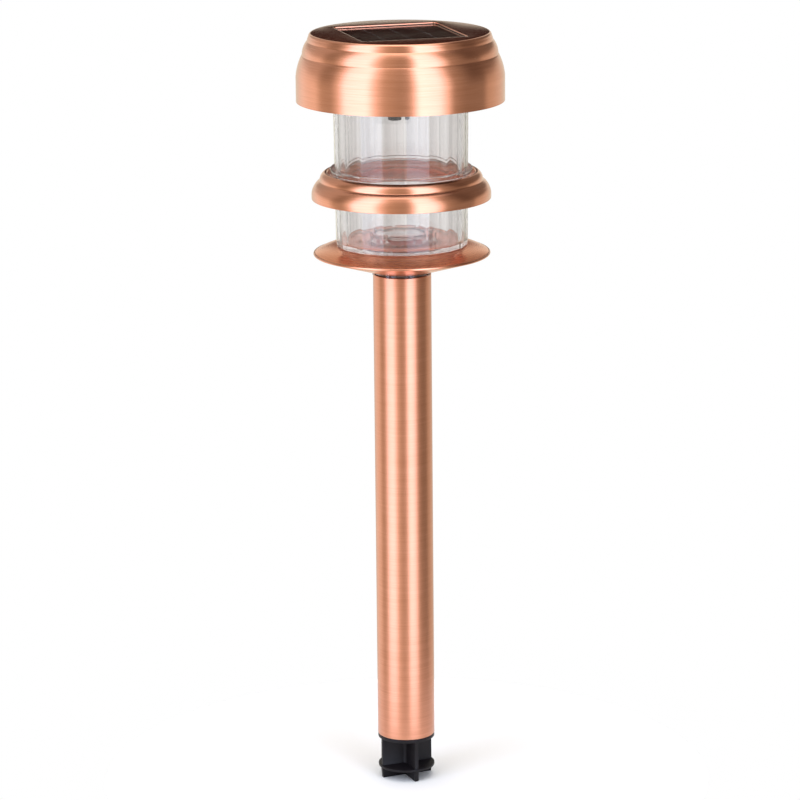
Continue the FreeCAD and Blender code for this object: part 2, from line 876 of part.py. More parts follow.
def battery_cell():
    """A cell on its side along X, with the raised contact at the +X end."""
    body = new_body("battery_cell")
    start = -20.35
    end = size(start) + "cell_length"
    y = size("cell_y")
    z = size("cell_z")
    can = circles(body, "can_outline", "YZ_Plane", [(y, z)], "cell_radius", start)
    extrude(body, "can", can, "cell_length")
    nub = circles(body, "nub_outline", "YZ_Plane", [(y, z)], 1.9, end)
    extrude(body, "nub", nub, 0.8)
    return body


def battery_contacts():
    """Two spring-steel plates at the ends of the bay."""
    plates = []
    low = size("floor_high")
    near = size("cell_y") - 4.5
    for name, x in (("minus", -size("bay_half")), ("plus", size("bay_half") - 0.3)):
        plates.append(block("contact_" + name, (x, near, low), (0.3, 9, 9.5)))
    return group("battery_contacts", plates)


def battery_spring():
    """A bent leaf between the minus plate and the cell."""
    body = new_body("battery_spring")
    y = size("cell_y")
    path = [
        (-24.05, y - 4.2),
        (-21.1, y - 1.2),
        (-21.1, y + 1.2, 1.7),
        (-24.05, y + 4.2),
    ]
    corners = pressed_sheet(path, 0.3)
    leaf = outline(body, "leaf_outline", "XY_Plane", corners, size("cell_z") - 3)
    extrude(body, "leaf", leaf, 6)
    return body


def panel_wires():
    """Two leads from the panel down through the tray to the board."""
    low = size("circuit_low") + "circuit_thick"
    height = size("board_low") - low
    wires = []
    for name, shift in (("minus", -1), ("plus", 1)):
        place = (WIRE_HOLE[0] + shift, WIRE_HOLE[1])
        wires.append(rod("panel_wire_" + name, place, "wire", low, height))
    return group("panel_wires", wires)


def battery_wires():
    """One lead from each contact plate, round a bend to the board."""
    height = size("bay_high") + 1.2
    leads = []
    for name, side in (("minus", -1), ("plus", 1)):
        body = new_body("battery_lead_" + name)
        line = new_sketch(body, name + "_route", "XY_Plane", height)
        far = (size("bay_half") + 1.2) * side
        near = far - 3 * side
        places = [(far, 6), (far, -2), (near, -5), (16 * side, -5)]
        points = [Vector(size(x).value, y, 0) for x, y in places]
        bend = Part.Arc(points[1], points[1] + Vector(-0.879 * side, -2.121, 0), points[2])
        line.addGeometry(Part.LineSegment(points[0], points[1]))
        line.addGeometry(bend)
        line.addGeometry(Part.LineSegment(points[2], points[3]))
        first, last = (2, 1) if side > 0 else (1, 2)
        line.addConstraint(Sketcher.Constraint("Coincident", 0, 2, 1, first))
        line.addConstraint(Sketcher.Constraint("Coincident", 1, last, 2, 1))
        for (edge, end), place in zip(((0, 1), (0, 2), (2, 1), (2, 2)), places):
            pin_point(line, edge, end, *place)
        section = circles(body, name + "_section", "XZ_Plane", [(far, height)], "wire", -6.0)
        pipe = body.newObject("PartDesign::AdditivePipe", name + "_pipe")
        pipe.Profile = section
        pipe.Spine = (line, ["Edge1", "Edge2", "Edge3"])
        doc.recompute()
        leads.append(body)
    return group("battery_wires", leads)


# ---------------------------------------------------------------- output

def check_features():
    """Stop if a feature failed or a cut took nothing away."""
    for item in doc.Objects:
        if "Invalid" in item.State or "Error" in item.State:
            raise RuntimeError("%s failed: %s" % (item.Name, item.State))
        if item.TypeId in ("PartDesign::Pocket", "PartDesign::Groove"):
            before = item.BaseFeature.Shape.Volume
            if item.Shape.Volume > before - 1e-3:
                raise RuntimeError(item.Name + " cuts nothing")


def main():
    nodes = [pole_tube(), ground_stake(), pole_plug()]
    nodes += [lens(), middle_ring(), base_plate(), base_bowl()]
    nodes += [cap_shell(), housing_top(), housing_base(), battery_door()]
    nodes += solar_panel()
    nodes += [housing_screws(), board_screws(), lens_gasket()]
    nodes += [circuit_board(), switch_knob(), battery_cell()]
    nodes += board_parts()
    nodes += lamp()
    nodes += [battery_contacts(), battery_spring(), panel_wires(), battery_wires()]
    doc.recompute()
    check_features()
    os.makedirs("parts", exist_ok=True)
    for node in nodes:
        shape = node.Shape
        if shape.isNull() or not shape.isValid() or not shape.Solids:
            raise RuntimeError(node.Label + " has no valid solid")
        shape.exportStep("parts/%s.step" % node.Label)
        print("%-18s %2d solids %9.1f mm3" % (node.Label, len(shape.Solids), shape.Volume))


main()
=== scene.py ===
import math

import bmesh
import bpy
from mathutils import Matrix, Quaternion, Vector


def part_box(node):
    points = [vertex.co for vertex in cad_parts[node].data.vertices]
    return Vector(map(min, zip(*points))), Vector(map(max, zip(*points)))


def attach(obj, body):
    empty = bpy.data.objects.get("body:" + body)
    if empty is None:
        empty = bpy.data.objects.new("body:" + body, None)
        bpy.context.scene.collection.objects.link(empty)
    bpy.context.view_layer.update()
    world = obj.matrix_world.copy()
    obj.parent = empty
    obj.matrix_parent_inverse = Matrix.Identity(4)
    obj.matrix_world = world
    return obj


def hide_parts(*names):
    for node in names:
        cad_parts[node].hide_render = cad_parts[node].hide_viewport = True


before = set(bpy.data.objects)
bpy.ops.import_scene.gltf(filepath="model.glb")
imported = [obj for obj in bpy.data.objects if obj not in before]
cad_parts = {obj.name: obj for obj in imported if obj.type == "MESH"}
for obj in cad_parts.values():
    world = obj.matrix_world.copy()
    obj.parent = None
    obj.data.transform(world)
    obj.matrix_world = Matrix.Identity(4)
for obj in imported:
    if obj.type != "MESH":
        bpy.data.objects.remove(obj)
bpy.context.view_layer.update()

MM = 0.001
SIDES = 360            # facets round a turned piece
FLOOR_SIDES = 96
FLOOR_REACH = 0.16     # metres

CAP_SHEET = 0.6        # mm
PRESSING = 0.5         # mm, the sheet of the ring and the saucer
POLE_WALL = 0.55       # mm
PLUG_HOLE = 14.6       # mm, radius of the hole in the saucer
SOCKET_BORE = 14.25    # mm, radius of the hole in the lens's foot
WINDOW = 55.0          # mm, side of the square window over the panel
WINDOW_CORNER = 1.5    # mm
LENS_FACETS = 18       # flat sides of the lens
LENS_TURN = -3         # degrees from the front to the middle of a flat side
LENS_RADIUS = 34.0     # mm, to the corners of its foot
LENS_DRAFT = 0.54      # degrees that its sides lean out
FACET_FLAT = 9         # degrees from the middle of a flat side to its rounded corner
NOTCHES = 8            # in the wall of the lens's socket

CAMERA_TURN = -16.7    # degrees round the pole from the front
CAMERA_RISE = 13.9     # degrees above the horizon
CAMERA_REACH = 1.85    # metres from the point aimed at
CAMERA_LENS = 160.4    # millimetres
CAMERA_SENSOR = 36     # millimetres
CAMERA_HEIGHT = 0.205  # metres from the floor to the point aimed at
CAMERA_SHIFT = 0.0017  # metres from the point aimed at to the pole, to the right
CAMERA_ROLL = -0.54    # degrees

# Light round the object: degrees to the right of the camera, and strength.
LIGHT_LEVELS = [
    (-180, 0.90), (-160, 0.82), (-135, 1.20), (-108, 1.20), (-97, 0.66), (-82, 0.58),
    (-72, 1.20), (-64, 2.50), (-38, 2.70), (-28, 1.35), (-18, 0.72), (0, 0.52),
    (8, 0.56), (14, 1.20), (21, 2.90), (44, 2.50), (54, 1.40), (61, 0.50), (76, 0.36),
    (104, 0.36), (112, 0.70), (140, 0.85), (160, 0.80), (180, 0.90),
]


# ---------------------------------------------------------------- node trees

class Nodes:
    """Short calls that add nodes to one tree. The tree starts empty."""

    def __init__(self, tree):
        self.tree = tree
        tree.nodes.clear()

    def add(self, kind, **settings):
        """A new node of this kind, with its settings."""
        node = self.tree.nodes.new(kind)
        for name, value in settings.items():
            setattr(node, name, value)
        return node

    def put(self, socket, value):
        """Link a socket to another node's output, or give it a number or colour."""
        if isinstance(value, bpy.types.NodeSocket):
            self.tree.links.new(value, socket)
        elif isinstance(value, tuple) and len(value) == 3 and socket.type == "RGBA":
            socket.default_value = (*value, 1)
        else:
            socket.default_value = value

    def math(self, operation, *values):
        """One sum, whose values are numbers or other nodes' outputs."""
        node = self.add("ShaderNodeMath", operation=operation)
        for socket, value in zip(node.inputs, values):
            self.put(socket, value)
        return node.outputs[0]

    def plus(self, first, second):
        return self.math("ADD", first, second)

    def minus(self, first, second):
        return self.math("SUBTRACT", first, second)

    def times(self, first, second):
        return self.math("MULTIPLY", first, second)

    def split(self, vector):
        node = self.add("ShaderNodeSeparateXYZ")
        self.put(node.inputs[0], vector)
        return node.outputs

    def join(self, x, y, z):
        node = self.add("ShaderNodeCombineXYZ")
        for socket, value in zip(node.inputs, (x, y, z)):
            self.put(socket, value)
        return node.outputs[0]

    def reach(self, x, y):
        """Distance from the upright axis."""
        return self.math("SQRT", self.plus(self.times(x, x), self.times(y, y)))

    def noise(self, vector, scale, detail=2.0, roughness=0.5):
        node = self.add("ShaderNodeTexNoise")
        self.put(node.inputs["Vector"], vector)
        node.inputs["Scale"].default_value = scale
        node.inputs["Detail"].default_value = detail
        node.inputs["Roughness"].default_value = roughness
        return node.outputs["Fac"]

    def spread(self, value, low, high, to_low, to_high):
        """Map one range of numbers to another, held at both ends."""
        node = self.add("ShaderNodeMapRange")
        self.put(node.inputs["Value"], value)
        for name, number in zip(("From Min", "From Max", "To Min", "To Max"),
                                (low, high, to_low, to_high)):
            node.inputs[name].default_value = number
        return node.outputs["Result"]

    def step(self, value, low, high):
        """A smooth way from 0 at low to 1 at high, which may lie below low."""
        node = self.add("ShaderNodeMapRange", interpolation_type="SMOOTHSTEP")
        self.put(node.inputs["Value"], value)
        node.inputs["From Min"].default_value = low
        node.inputs["From Max"].default_value = high
        return node.outputs["Result"]

    def blend(self, amount, first, second):
        node = self.add("ShaderNodeMix", data_type="RGBA")
        self.put(node.inputs["Factor"], amount)
        self.put(node.inputs[6], first)
        self.put(node.inputs[7], second)
        return node.outputs[2]


class Shader(Nodes):
    """A material's tree, with one surface shader."""

    def __init__(self, name):
        self.material = bpy.data.materials.new(name)
        self.material.use_nodes = True
        super().__init__(self.material.node_tree)
        self.surface = self.add("ShaderNodeBsdfPrincipled")
        self.end = self.add("ShaderNodeOutputMaterial")
        self.put(self.end.inputs["Surface"], self.surface.outputs[0])

    def set(self, **values):
        """Put values in the surface shader's sockets, with _ for the spaces in their names."""
        for name, value in values.items():
            self.put(self.surface.inputs[name.replace("_", " ")], value)

    def position(self):
        return self.add("ShaderNodeTexCoord").outputs["Object"]

    def bump(self, height, depth, strength):
        node = self.add("ShaderNodeBump")
        node.inputs["Strength"].default_value = strength
        node.inputs["Distance"].default_value = depth
        self.put(node.inputs["Height"], height)
        self.set(Normal=node.outputs[0])

    def thin(self, amount, colour):
        """Let a share of the light straight through, as a thin wall does."""
        straight = self.add("ShaderNodeBsdfTransparent")
        self.put(straight.inputs["Color"], colour)
        mix = self.add("ShaderNodeMixShader")
        mix.inputs[0].default_value = amount
        self.put(mix.inputs[1], self.surface.outputs[0])
        self.put(mix.inputs[2], straight.outputs[0])
        self.put(self.end.inputs["Surface"], mix.outputs[0])

    def brush_round(self):
        """Turn the stretched highlights to brushing that goes round the upright axis."""
        node = self.add("ShaderNodeTangent", direction_type="RADIAL", axis="Z")
        self.set(Tangent=node.outputs[0])


# ---------------------------------------------------------------- materials

def brushed_copper(name, slope, roughness=0.20, dark=(0.69, 0.282, 0.165),
                   light=(0.79, 0.342, 0.215), smooth_above=1.0):
    """Lacquered copper-coloured metal brushed round its axis. slope is the sign that keeps
    the brush lines apart on the piece's sloping walls: -1 where it narrows upwards.
    Above the height smooth_above, in metres, the metal is smoother."""
    shader = Shader(name)
    x, y, z = shader.split(shader.position())
    along = shader.plus(z, shader.times(shader.reach(x, y), slope))
    fine = shader.noise(shader.join(x, y, shader.times(along, 60.0)), 46.0, 3.0, 0.6)
    broad = shader.noise(shader.join(x, y, shader.times(along, 16.0)), 30.0)
    clouds = shader.noise(shader.position(), 30.0)
    lines = shader.plus(shader.times(fine, 0.7), shader.times(broad, 0.3))
    tone = shader.spread(lines, 0.34, 0.66, 0.0, 1.0)
    shader.set(Base_Color=shader.blend(tone, dark, light), Metallic=1.0, Anisotropic=0.8,
               Anisotropic_Rotation=0.25, Coat_Weight=0.35, Coat_Roughness=0.15, Coat_IOR=1.5)
    rough = shader.plus(shader.spread(lines, 0.3, 0.7, roughness, roughness + 0.06),
                        shader.spread(clouds, 0.35, 0.65, -0.015, 0.015))
    polish = shader.spread(z, smooth_above, smooth_above + 0.0002, 1.0, 0.62)
    shader.set(Roughness=shader.times(rough, polish))
    shader.brush_round()
    shader.bump(lines, 0.00002, 0.4)
    return shader


def covered_copper(name):
    """Brushed copper that turns partly matt where the lens covers it, with a painted glow there
    and a fainter painted glow on the bare copper. Its redder colour is partly its own tone and
    partly a painted reflection of the copper round it.
    """
    covered = 0.0328  # metres from the axis
    bare = 0.0334
    # Redder copper than the shell's: partly the saucer's own tone, partly a painted reflection of
    # the copper round it.
    shader = brushed_copper(name, -1.0, 0.24, (0.80, 0.30, 0.13), (0.90, 0.36, 0.17))
    x, y, _ = shader.split(shader.position())
    radius = shader.reach(x, y)
    # Painted glow: the copper glows, more strongly under the lens, in place of light coming
    # through the lens.
    shader.set(Metallic=shader.spread(radius, covered, bare, 0.35, 1.0),
               Emission_Color=(0.82, 0.25, 0.18),
               Emission_Strength=shader.spread(radius, covered, bare, 0.55, 0.12))
    return shader


def clear_plastic(name, tint, roughness):
    """Clear moulded plastic with faint flow marks."""
    shader = Shader(name)
    flow = shader.noise(shader.position(), 60.0, 3.0)
    shader.set(Base_Color=shader.blend(flow, tint, (0.98, 0.985, 0.985)), IOR=1.5,
               Transmission_Weight=1.0,
               Roughness=shader.spread(flow, 0.3, 0.7, roughness * 0.5, roughness))
    shader.bump(shader.noise(shader.position(), 140.0), 0.00004, 0.25)
    return shader.material


def lens_marks_and_painted_shade(shader, x, y, streaks):
    """Tone of the lens's wall: draw marks, and painted shade and highlights. Each flat side has
    its own painted shade, paler towards its right, with a strip of painted shade beside its
    painted corner highlights."""
    turn = shader.times(shader.math("ARCTAN2", y, x), LENS_FACETS / (2 * math.pi))
    first_side = (LENS_TURN - 90) * LENS_FACETS / 360
    # Whole numbers fall at the corners, and 50 keeps the count above zero.
    side = shader.plus(turn, 50.5 - first_side)
    across = shader.math("FRACT", side)
    # Painted shade: each flat side gets its own level from own, and across makes it paler towards
    # its right.
    own = shader.noise(shader.join(shader.math("FLOOR", side), 0.5, 0.5), 1.37, 0.0)
    from_middle = shader.math("ABSOLUTE", shader.minus(across, 0.5))
    # corner is a painted highlight along each side's rounded corners.
    corner = shader.spread(from_middle, 0.445, 0.455, 0.0, 1.0)
    # groove is painted shade, a darker strip beside each corner; the wall has no groove there.
    groove = shader.minus(shader.spread(from_middle, 0.38, 0.44, 0.0, 1.0), corner)
    shade = shader.plus(shader.spread(own, 0.35, 0.65, -0.05, 0.3), shader.times(across, 0.3))
    plain = shader.plus(shader.spread(streaks, 0.36, 0.60, 0.0, 0.25), shade)
    edged = shader.minus(plain, shader.times(groove, 0.25))
    return shader.plus(edged, shader.times(corner, 0.9))


def streaked_lens(name):
    """Thin clear moulded plastic with faint upright draw marks round the wall, and painted shade
    and highlights on its flat sides.
    """
    shader = Shader(name)
    x, y, z = shader.split(shader.position())
    upright = shader.join(x, y, shader.times(z, 0.03))
    marks = shader.noise(upright, 520.0)
    bands = shader.noise(upright, 120.0)
    streaks = shader.plus(shader.times(marks, 0.25), shader.times(bands, 0.75))
    # The wall's colour carries painted shade and highlights of the flat sides, besides the draw
    # marks.
    tone = lens_marks_and_painted_shade(shader, x, y, streaks)
    shader.set(Base_Color=shader.blend(tone, (0.83, 0.81, 0.80), (1.0, 0.99, 0.985)),
               IOR=1.49, Transmission_Weight=1.0,
               Roughness=shader.spread(marks, 0.3, 0.7, 0.02, 0.04))
    shader.bump(bands, 0.00005, 0.25)
    # The share let straight through is tinted with the same painted shade and highlights.
    shader.thin(0.12, shader.blend(tone, (0.88, 0.84, 0.83), (0.99, 0.975, 0.97)))
    return shader.material


def moulded_plastic(name, colour, roughness=0.42, shine=0.5):
    """Opaque moulded plastic with a fine grain and slight colour drift."""
    shader = Shader(name)
    grain = shader.noise(shader.position(), 2400.0)
    drift = shader.noise(shader.position(), 70.0, 3.0)
    light = tuple(min(1.0, part * 1.6 + 0.006) for part in colour)
    shader.set(Base_Color=shader.blend(drift, colour, light), Specular_IOR_Level=shine,
               Roughness=shader.spread(drift, 0.3, 0.7, roughness - 0.06, roughness + 0.08))
    shader.bump(grain, 0.00005, 0.5)
    return shader.material


def plated(name, colour, roughness=0.25):
    """Plated metal with fine random marks."""
    shader = Shader(name)
    marks = shader.noise(shader.position(), 900.0, 3.0)
    dark = tuple(part * 0.8 for part in colour)
    shader.set(Base_Color=shader.blend(marks, dark, colour), Metallic=1.0,
               Roughness=shader.spread(marks, 0.3, 0.7, roughness - 0.06, roughness + 0.08))
    return shader.material


def silicon(name):
    """Dark blue crystals with thin silver fingers across them."""
    shader = Shader(name)
    y = shader.split(shader.position())["Y"]
    finger = shader.math("LESS_THAN", shader.math("FRACT", shader.times(y, 520.0)), 0.07)
    crystals = shader.noise(shader.position(), 190.0, 1.0)
    cell = shader.blend(shader.spread(crystals, 0.35, 0.65, 0.0, 1.0), (0.006, 0.008, 0.016),
                        (0.014, 0.019, 0.036))
    shader.set(Base_Color=shader.blend(finger, cell, (0.12, 0.125, 0.135)), Roughness=0.3)
    return shader.material


def resin(name):
    """Clear cast cover over the cells, a little hazy."""
    shader = Shader(name)
    haze = shader.noise(shader.position(), 45.0, 3.0)
    shader.set(Base_Color=shader.blend(haze, (0.9, 0.93, 0.97), (1.0, 1.0, 1.0)), IOR=1.5,
               Transmission_Weight=1.0,
               Roughness=shader.spread(haze, 0.3, 0.7, 0.08, 0.16))
    return shader.material


# ---------------------------------------------------------------- meshes

def arc_points(start, end, radius, step):
    """Points along the short arc after start. It bulges to the right if radius is positive."""
    chord = end - start
    half = chord.length / 2
    rise = math.sqrt(radius * radius - half * half)
    left = Vector((-chord.y, chord.x)).normalized()
    centre = (start + end) / 2 + left * math.copysign(rise, radius)
    sweep = 2 * math.asin(half / abs(radius)) * math.copysign(1, radius)
    count = max(2, math.ceil(abs(sweep * radius) / step))
    arm = start - centre
    points = []
    for index in range(1, count + 1):
        turn = sweep * index / count
        cos = math.cos(turn)
        sin = math.sin(turn)
        points.append(centre + Vector((arm.x * cos - arm.y * sin, arm.x * sin + arm.y * cos)))
    return points


def path_points(corners, step):
    """(radius, height) corners in mm to points. A third number bends the way to a corner."""
    points = [Vector(corners[0][:2])]
    for corner in corners[1:]:
        end = Vector(corner[:2])
        if len(corner) == 3:
            points += arc_points(points[-1], end, corner[2], step)
        else:
            points.append(end)
    return points


def beside(points, distance):
    """The points of a path, each moved to the left of it."""
    moved = []
    for index, point in enumerate(points):
        before = points[max(index - 1, 0)]
        after = points[min(index + 1, len(points) - 1)]
        way = (after - before).normalized()
        moved.append(point + Vector((-way.y, way.x)) * distance)
    return moved


def round_edge(start, end):
    """Points of the half circle that closes a sheet's edge, without its ends."""
    width = (end - start).length
    # A hair over half the width, because rounding could leave an exact half too short.
    radius = width / 2 * 1.0001
    return arc_points(start, end, radius, width / 4)[:-1]


def sheet_profile(corners, thickness, step):
    """A closed profile of a sheet on the left of its path, with rounded edges."""
    outer = path_points(corners, step)
    inner = beside(outer, thickness)
    return outer + round_edge(outer[-1], inner[-1]) + inner[::-1] + round_edge(inner[0], outer[0])


def smooth(mesh, crease):
    """Smooth shading with sharp edges where faces meet at more than crease degrees."""
    mesh.shade_smooth()
    mesh.set_sharp_from_angle(angle=math.radians(crease))


def face_outwards(mesh):
    """Turn the faces of a closed mesh so that all of them face outwards."""
    shape = bmesh.new()
    shape.from_mesh(mesh)
    bmesh.ops.recalc_face_normals(shape, faces=shape.faces)
    shape.to_mesh(mesh)
    shape.free()


def show(name, data):
    """A new object in the scene with a mesh or a camera as its data."""
    made = bpy.data.objects.new(name, data)
    bpy.context.scene.collection.objects.link(made)
    return made


def even_angles(count):
    """Angles in radians, evenly round a full turn from 0."""
    return [2 * math.pi * index / count for index in range(count)]


def loft(name, rings, crease):
    """A closed skin through rings of (radius, height) in mm. Either may be a function
    of the angle round the axis."""
    angles = even_angles(SIDES)
    vertices = []
    for radius, height in rings:
        for angle in angles:
            reach = radius(angle) if callable(radius) else radius
            level = height(angle) if callable(height) else height
            vertices.append((reach * math.cos(angle) * MM, reach * math.sin(angle) * MM,
                             level * MM))
    faces = []
    for ring in range(len(rings)):
        above = (ring + 1) % len(rings)
        for side in range(SIDES):
            after = (side + 1) % SIDES
            faces.append((ring * SIDES + side, ring * SIDES + after,
                          above * SIDES + after, above * SIDES + side))
    mesh = bpy.data.meshes.new(name)
    mesh.from_pydata(vertices, [], faces)
    mesh.update()
    face_outwards(mesh)
    smooth(mesh, crease)
    return show(name, mesh)


def turned(name, profile):
    """A closed profile turned round the axis. Only its square corners stay sharp."""
    return loft(name, [(point.x, point.y) for point in profile], crease=60)


def place(piece, body, node, material):
    """Let a piece with one material stand for a CAD node."""
    piece.data.materials.clear()
    piece.data.materials.append(material)
    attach(piece, body)
    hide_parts(node)


def softened(name, node, width):
    """A copy of a CAD node's mesh with its sharp edges rounded."""
    same_point = 2e-6
    flat = math.radians(1)
    sharp_from = math.radians(35)
    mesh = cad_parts[node].data.copy()
    mesh.name = name
    shape = bmesh.new()
    shape.from_mesh(mesh)
    bmesh.ops.remove_doubles(shape, verts=shape.verts, dist=same_point)
    bmesh.ops.dissolve_limit(shape, angle_limit=flat, verts=shape.verts, edges=shape.edges)
    sharp = []
    for edge in shape.edges:
        if edge.is_manifold and edge.calc_face_angle() > sharp_from:
            sharp.append(edge)
    bmesh.ops.bevel(shape, geom=sharp, offset=width, segments=2, profile=0.5, affect="EDGES",
                    clamp_overlap=True)
    shape.to_mesh(mesh)
    shape.free()
    smooth(mesh, 40)
    return show(name, mesh)


def size_of(node):
    """Outer radius, lowest and highest z of a node, in mm."""
    low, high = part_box(node)
    return [round(value / MM, 3) for value in (high.x, low.z, high.z)]


# ---------------------------------------------------------------- pressed metal

def window_edge(grow):
    """The rounded square of the panel's window, as a radius for each angle."""
    corner = WINDOW_CORNER + grow
    half = WINDOW / 2 + grow
    centre = half - corner

    def reach(angle):
        cos = abs(math.cos(angle))
        sin = abs(math.sin(angle))
        major = max(cos, sin)
        minor = min(cos, sin)
        flat = half / major
        if flat * minor <= centre:
            return flat
        along = centre * (major + minor)
        return along + math.sqrt(along * along - 2 * centre * centre + corner * corner)

    return reach


def cap_skin(metal):
    """Three rounded steps, a flat top and the square window, as one thin pressing."""
    wide, low, top = size_of("cap_shell")
    lower_step = 49.9
    upper_step = 47.2
    flat = 44.8
    skirt = [(wide, low + rise) for rise in range(12)]
    steps = [
        (wide, top - 22.0),
        (lower_step + 0.2, top - 11.3, 30),
        (lower_step, top - 11.0, -0.6),
        (upper_step + 0.2, top - 4.2, 11),
        (upper_step, top - 3.9, -0.6),
        (upper_step - 0.7, top - 1.6, 8),
        (flat, top, 1.7),
    ]
    outer = path_points(skirt + steps, 0.6)
    inner = beside(outer, CAP_SHEET)
    rings = [(point.x, point.y) for point in outer]
    for grow, drop in ((2, 0), (0.6, 0), (0.15, 0), (0.04, 0.05), (0, 0.15), (0, CAP_SHEET)):
        rings.append((window_edge(grow), top - drop))
    rings += [(point.x, point.y) for point in inner[::-1]]
    piece = loft("cap_skin", rings, crease=35)
    place(piece, "cap", "cap_shell", metal)


def ring_skin(metal):
    """The pressed ring round the middle of the lens, with a groove below its neck."""
    wide, low, top = size_of("middle_ring")
    hole = 37.5
    groove = 42.3
    groove_top = low + 8.8
    path = [
        (wide, low),
        (wide, low + 2.4),
        (wide - 1.3, low + 6.2, 8),
        (groove, groove_top, 7),
        (groove - 0.5, groove_top + 0.9, -1.2),
        (hole + 1.6, top, 4.6),
        (hole + 1.2, top),
        (hole, top - 1.2, 1.2),
        (hole, top - 3.0),
    ]
    piece = turned("ring_skin", sheet_profile(path, PRESSING, 0.35))
    place(piece, "lens_head", "middle_ring", metal)


def plate_skin(metal):
    """The saucer's upper plate, flat under the lens and curved down to the rim."""
    rim, low, top = size_of("base_plate")
    shoulder = 33.0
    path = [
        (rim + 0.6, low - 0.1),
        (shoulder, top, 40),
        (PLUG_HOLE, top),
    ]
    piece = turned("saucer_top_skin", sheet_profile(path, PRESSING, 0.8))
    place(piece, "lens_head", "base_plate", metal)


def bowl_skin(metal):
    """The saucer's conical underside and its rolled rim."""
    wide, low, top = size_of("base_bowl")
    foot = 16.0
    lip = 0.8
    path = [
        (PLUG_HOLE, low),
        (foot, low),
        (wide - 0.5, top - 1.3),
        (wide, top - 0.7, lip),
        (wide - lip, top, lip),
        (wide - 1.4, top - 0.3, lip),
    ]
    piece = turned("saucer_bowl_skin", sheet_profile(path, PRESSING, 0.5))
    place(piece, "lens_head", "base_bowl", metal)


def pole_skin(metal):
    """The tube, with rings along it that keep its faces short."""
    wide, low, top = size_of("pole_tube")
    start = low + POLE_WALL / 2
    end = top - POLE_WALL / 2
    spacing = 8.0
    count = math.ceil((end - start) / spacing)
    path = [(wide, start + spacing * index) for index in range(count)] + [(wide, end)]
    piece = turned("pole_skin", sheet_profile(path, POLE_WALL, spacing))
    place(piece, "pole", "pole_tube", metal)


# ---------------------------------------------------------------- lens

def facet_reach(apothem):
    """Reach of the lens's outline by angle: flat sides with slightly rounded corners."""
    pitch = 2 * math.pi / LENS_FACETS
    start = math.radians(LENS_TURN - 90)
    flat = math.radians(FACET_FLAT)

    def reach(angle):
        off = (angle - start + pitch / 2) % pitch - pitch / 2
        return apothem / math.cos(min(abs(off), flat))

    return reach


def notched(high, low):
    """Height of the socket's wall by angle: its notches go down to the floor."""
    pitch = 2 * math.pi / NOTCHES
    half_width = math.radians(5.2)

    def height(angle):
        off = (angle + pitch / 2) % pitch - pitch / 2
        return low if abs(off) < half_width else high

    return height


def collar(outside, low, high, reach):
    """A flat collar round the lens, with softened edges and a narrow fillet on top."""
    soft = 0.3
    return [
        (outside(low - 0.4), low - 0.4),
        (outside(low), low),
        (reach - soft, low),
        (reach, low + soft),
        (reach, high - soft),
        (reach - soft, high),
        (outside(high + 0.3), high),
        (outside(high + 0.5), high + 0.4),
    ]


def lens_outside(levels):
    """The faceted wall from the hole in its foot to its top edge. It has a ledge that the
    ring rests on and, above that, a narrower flange inside the ring."""
    ledge_reach, low, top = size_of("lens")
    ring_top = size_of("middle_ring")[2]
    ledge_top = ring_top - 3.0
    ledge_thick = 1.8
    flange_low = ring_top - 0.3
    flange_thick = 2.3
    flange_reach = 36.5
    foot = low + 0.05
    edge = LENS_RADIUS * math.cos(math.pi / LENS_FACETS)
    lean = math.tan(math.radians(LENS_DRAFT))

    def outside(height):
        return facet_reach(edge + (height - foot) * lean)

    rings = [
        (SOCKET_BORE, foot + 0.3),
        (SOCKET_BORE + 0.3, foot),
        (30.0, foot),
        (facet_reach(edge - 0.5), foot),
        (facet_reach(edge - 0.1), foot + 0.15),
        (outside(foot + 0.6), foot + 0.6),
    ]
    rings += collar(outside, ledge_top - ledge_thick, ledge_top, ledge_reach)
    rings += collar(outside, flange_low, flange_low + flange_thick, flange_reach)
    rings += [(outside(level), level) for level in levels + [top - 0.5]]
    rings.append((facet_reach(edge + (top - foot) * lean - 0.4), top))
    return rings


def lens_inside(levels):
    """The round inside from its top edge to the socket that takes the plug."""
    _, low, top = size_of("lens")
    floor_level = low + 2.2
    mouth = 32.4
    taper = 0.7
    socket = 17.0
    socket_top = low + 6.7

    def inside(height):
        return mouth - taper + taper * (height - floor_level) / (top - floor_level)

    rings = [(mouth + 0.6, top), (mouth + 0.1, top - 0.2)]
    for level in [top - 0.6] + levels + [floor_level + 1.2]:
        rings.append((inside(level), level))
    rings += [
        (31.5, floor_level + 0.5),
        (31.1, floor_level + 0.1),
        (30.4, floor_level),
        (socket + 0.6, floor_level),
        (socket + 0.1, floor_level + 0.1),
        (socket, notched(floor_level + 0.5, floor_level + 0.2)),
        (socket, notched(socket_top - 0.4, floor_level + 0.25)),
        (socket - 0.2, notched(socket_top, floor_level + 0.3)),
        (SOCKET_BORE + 0.25, notched(socket_top, floor_level + 0.3)),
        (SOCKET_BORE, notched(socket_top - 0.3, floor_level + 0.25)),
    ]
    return rings


def add_lugs(mesh):
    """Three lugs near the lens's top edge, which hang in the twist lock."""
    top = size_of("lens")[2]
    levels = (top - 3.0, top - 1.0)
    half = 4.0
    inner = 34.3
    outer = 36.4
    outline = ((-half, -outer), (half, -outer), (half, -inner), (-half, -inner))
    sides = [(index, (index + 1) % 4, (index + 1) % 4 + 4, index + 4) for index in range(4)]
    shape = bmesh.new()
    shape.from_mesh(mesh)
    for third in range(3):
        spin = Matrix.Rotation(math.radians(120 * third), 4, "Z")
        corners = [Vector((x, y, z)) * MM for z in levels for x, y in outline]
        verts = [shape.verts.new(spin @ corner) for corner in corners]
        for loop in [(0, 3, 2, 1), (4, 5, 6, 7)] + sides:
            shape.faces.new([verts[index] for index in loop])
    shape.to_mesh(mesh)
    shape.free()


